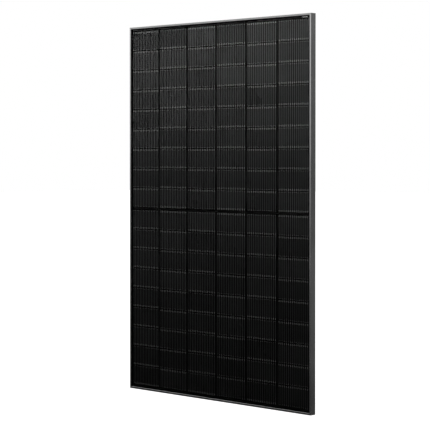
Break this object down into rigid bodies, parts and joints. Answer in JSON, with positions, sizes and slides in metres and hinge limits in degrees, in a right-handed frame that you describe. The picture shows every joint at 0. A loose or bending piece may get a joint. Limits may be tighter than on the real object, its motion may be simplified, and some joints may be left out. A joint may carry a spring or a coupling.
{
  "type": "solar panel",
  "caption": "Framed photovoltaic module of half-cut wire-type cells under glass, with a mitred hollow frame and split junction boxes with lift-off lids.",
  "frame": {"origin": "centre of the mounting holes, on the frame's rear mounting plane", "axes": "+Z along the long rails (up in portrait), +X across, glass faces -Y, rear mounting plane faces +Y"},
  "size_m": [1.134, 0.03, 1.722],
  "materials": {
    "anodised_frame": "black anodised, satin",
    "key_aluminium": "mill finish",
    "silicone_sealant": "cured silicone, satin",
    "solar_glass": "tempered, low iron, anti-reflection coated",
    "encapsulant": "clear film",
    "silicon_cell": "textured silicon, blue-black",
    "tinned_wire": "tinned copper",
    "coated_ribbon": "black coated copper",
    "backsheet_film": "black film, fine grain",
    "serial_label": "printed film",
    "rating_label": "printed film",
    "box_plastic": "moulded, fine spark texture",
    "lid_plastic": "moulded, satin",
    "nut_plastic": "moulded, satin",
    "seal_rubber": "matt",
    "tinned_terminal": "tinned copper sheet",
    "diode_epoxy": "moulded epoxy"
  },
  "bodies": {
    "module": {"frame_rail_left": "anodised_frame", "frame_rail_right": "anodised_frame", "frame_rail_top": "anodised_frame", "frame_rail_bottom": "anodised_frame", "corner_key_top_left": "key_aluminium", "corner_key_top_right": "key_aluminium", "corner_key_bottom_left": "key_aluminium", "corner_key_bottom_right": "key_aluminium", "frame_sealant": "silicone_sealant", "front_glass": "solar_glass", "front_encapsulant": "encapsulant", "rear_encapsulant": "encapsulant", "backsheet": "backsheet_film", "cell_string_upper_1": "silicon_cell", "cell_string_upper_2": "silicon_cell", "cell_string_upper_3": "silicon_cell", "cell_string_upper_4": "silicon_cell", "cell_string_upper_5": "silicon_cell", "cell_string_upper_6": "silicon_cell", "cell_string_lower_1": "silicon_cell", "cell_string_lower_2": "silicon_cell", "cell_string_lower_3": "silicon_cell", "cell_string_lower_4": "silicon_cell", "cell_string_lower_5": "silicon_cell", "cell_string_lower_6": "silicon_cell", "string_wires_upper_1": "tinned_wire", "string_wires_upper_2": "tinned_wire", "string_wires_upper_3": "tinned_wire", "string_wires_upper_4": "tinned_wire", "string_wires_upper_5": "tinned_wire", "string_wires_upper_6": "tinned_wire", "string_wires_lower_1": "tinned_wire", "string_wires_lower_2": "tinned_wire", "string_wires_lower_3": "tinned_wire", "string_wires_lower_4": "tinned_wire", "string_wires_lower_5": "tinned_wire", "string_wires_lower_6": "tinned_wire", "bus_ribbons_top": "coated_ribbon", "bus_ribbons_centre": "coated_ribbon", "bus_ribbons_bottom": "coated_ribbon", "serial_label": "serial_label", "rating_label": "rating_label", "jbox_base_left": "box_plastic", "jbox_base_centre": "box_plastic", "jbox_base_right": "box_plastic", "jbox_terminals_left": "tinned_terminal", "jbox_terminals_centre": "tinned_terminal", "jbox_terminals_right": "tinned_terminal", "jbox_adhesive": "silicone_sealant", "lid_gaskets": "seal_rubber", "bypass_diodes": "diode_epoxy", "gland_bodies": "nut_plastic", "gland_seals": "seal_rubber", "gland_nuts": "nut_plastic"},
    "lid_left": {"jbox_lid_left": "lid_plastic"},
    "lid_centre": {"jbox_lid_centre": "lid_plastic"},
    "lid_right": {"jbox_lid_right": "lid_plastic"}
  },
  "joints": [
    {"name": "lid_left_lift", "type": "slide", "parent": "module", "child": "lid_left", "axis": [0, 1, 0], "range_m": [0, 0.035]},
    {"name": "lid_centre_lift", "type": "slide", "parent": "module", "child": "lid_centre", "axis": [0, 1, 0], "range_m": [0, 0.035]},
    {"name": "lid_right_lift", "type": "slide", "parent": "module", "child": "lid_right", "axis": [0, 1, 0], "range_m": [0, 0.035]}
  ]
}
